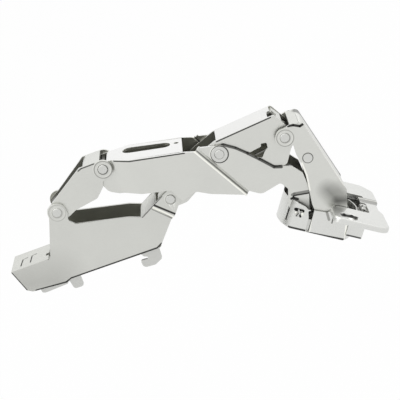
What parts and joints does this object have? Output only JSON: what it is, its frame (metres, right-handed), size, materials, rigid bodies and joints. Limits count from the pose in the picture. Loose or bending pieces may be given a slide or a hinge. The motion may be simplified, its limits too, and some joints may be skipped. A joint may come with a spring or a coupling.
{
  "type": "cranked concealed hinge",
  "caption": "Wide-angle cranked concealed cabinet hinge: clip-on arm, crossing linkage levers and a drilled-in flanged cup.",
  "frame": {"origin": "on the mounting plane, midway across the hinge, below the rear end of the arm wall's straight lower edge", "axes": "+X along the arm towards the door, +Z away from the mounting plane, Y along the linkage pins"},
  "size_m": [0.167, 0.056, 0.0759],
  "materials": {
    "nickel_sheet": "satin nickel plating on pressed steel",
    "nickel_cup": "bright nickel plating",
    "zinc_sheet": "zinc plated steel",
    "pin_steel": "bright riveted pin",
    "screw_steel": "nickel plated screw",
    "spring_steel": "oiled spring wire",
    "insert_plastic": "moulded dark grey"
  },
  "bodies": {
    "arm": {"arm_channel": "nickel_sheet", "clip_base": "zinc_sheet", "lever_pin": "pin_steel", "lever_spring": "spring_steel", "arm_rear_pin": "pin_steel", "arm_front_pin": "pin_steel", "rear_sleeve": "pin_steel"},
    "release_lever": {"release_lever": "zinc_sheet"},
    "depth_screw": {"depth_screw": "screw_steel"},
    "side_screw": {"side_screw": "screw_steel"},
    "rear_link": {"rear_link": "nickel_sheet"},
    "inner_lever": {"inner_lever": "nickel_sheet", "crossing_pin": "pin_steel", "front_link_pin": "pin_steel", "closing_spring": "spring_steel"},
    "cranked_lever": {"cranked_lever": "nickel_sheet", "rear_link_pin": "pin_steel", "crossing_collars": "pin_steel"},
    "front_link": {"front_link": "nickel_sheet", "link_rivets": "pin_steel"},
    "cup": {"cup_body": "nickel_cup", "cup_flange": "nickel_cup", "cup_rear_pin": "pin_steel", "cup_front_pin": "pin_steel", "cup_insert": "insert_plastic", "flange_tab": "zinc_sheet"}
  },
  "joints": [
    {"name": "main_fold", "type": "hinge", "parent": "arm", "child": "inner_lever", "pos_m": [0.07052, 0, 0.01986], "axis": [0, -1, 0], "range_deg": [-5, 36]},
    {"name": "rear_link_turn", "type": "hinge", "parent": "arm", "child": "rear_link", "pos_m": [0.02091, 0, 0.03191], "axis": [0, -1, 0], "range_deg": [-5.5, 40]},
    {"name": "crossing_turn", "type": "hinge", "parent": "inner_lever", "child": "cranked_lever", "pos_m": [0.09816, 0, 0.03184], "axis": [0, -1, 0], "range_deg": [-38, 5.2]},
    {"name": "front_link_turn", "type": "hinge", "parent": "inner_lever", "child": "front_link", "pos_m": [0.12775, 0, 0.02907], "axis": [0, -1, 0], "range_deg": [-31.5, 4.5]},
    {"name": "cup_turn", "type": "hinge", "parent": "cranked_lever", "child": "cup", "pos_m": [0.12254, 0, -0.00587], "axis": [0, -1, 0], "range_deg": [-9.2, 68]},
    {"name": "release_press", "type": "hinge", "parent": "arm", "child": "release_lever", "pos_m": [0.014, 0, 0.003], "axis": [0, 1, 0], "range_deg": [0, 12], "stiffness_Nm_per_rad": 0.02, "springref_deg": -5.73},
    {"name": "depth_turn", "type": "hinge", "parent": "arm", "child": "depth_screw", "pos_m": [0.024, 0, 0.009], "axis": [0, 0, 1], "continuous": true},
    {"name": "side_turn", "type": "hinge", "parent": "arm", "child": "side_screw", "pos_m": [0.04, 0, 0.009], "axis": [0, 0, 1], "continuous": true}
  ],
  "couplings": [
    {"joint": "rear_link_turn", "follows": "main_fold", "ratio": 1.0438},
    {"joint": "crossing_turn", "follows": "main_fold", "ratio": -0.9948},
    {"joint": "front_link_turn", "follows": "main_fold", "ratio": -0.813},
    {"joint": "cup_turn", "follows": "main_fold", "ratio": 1.777}
  ]
}
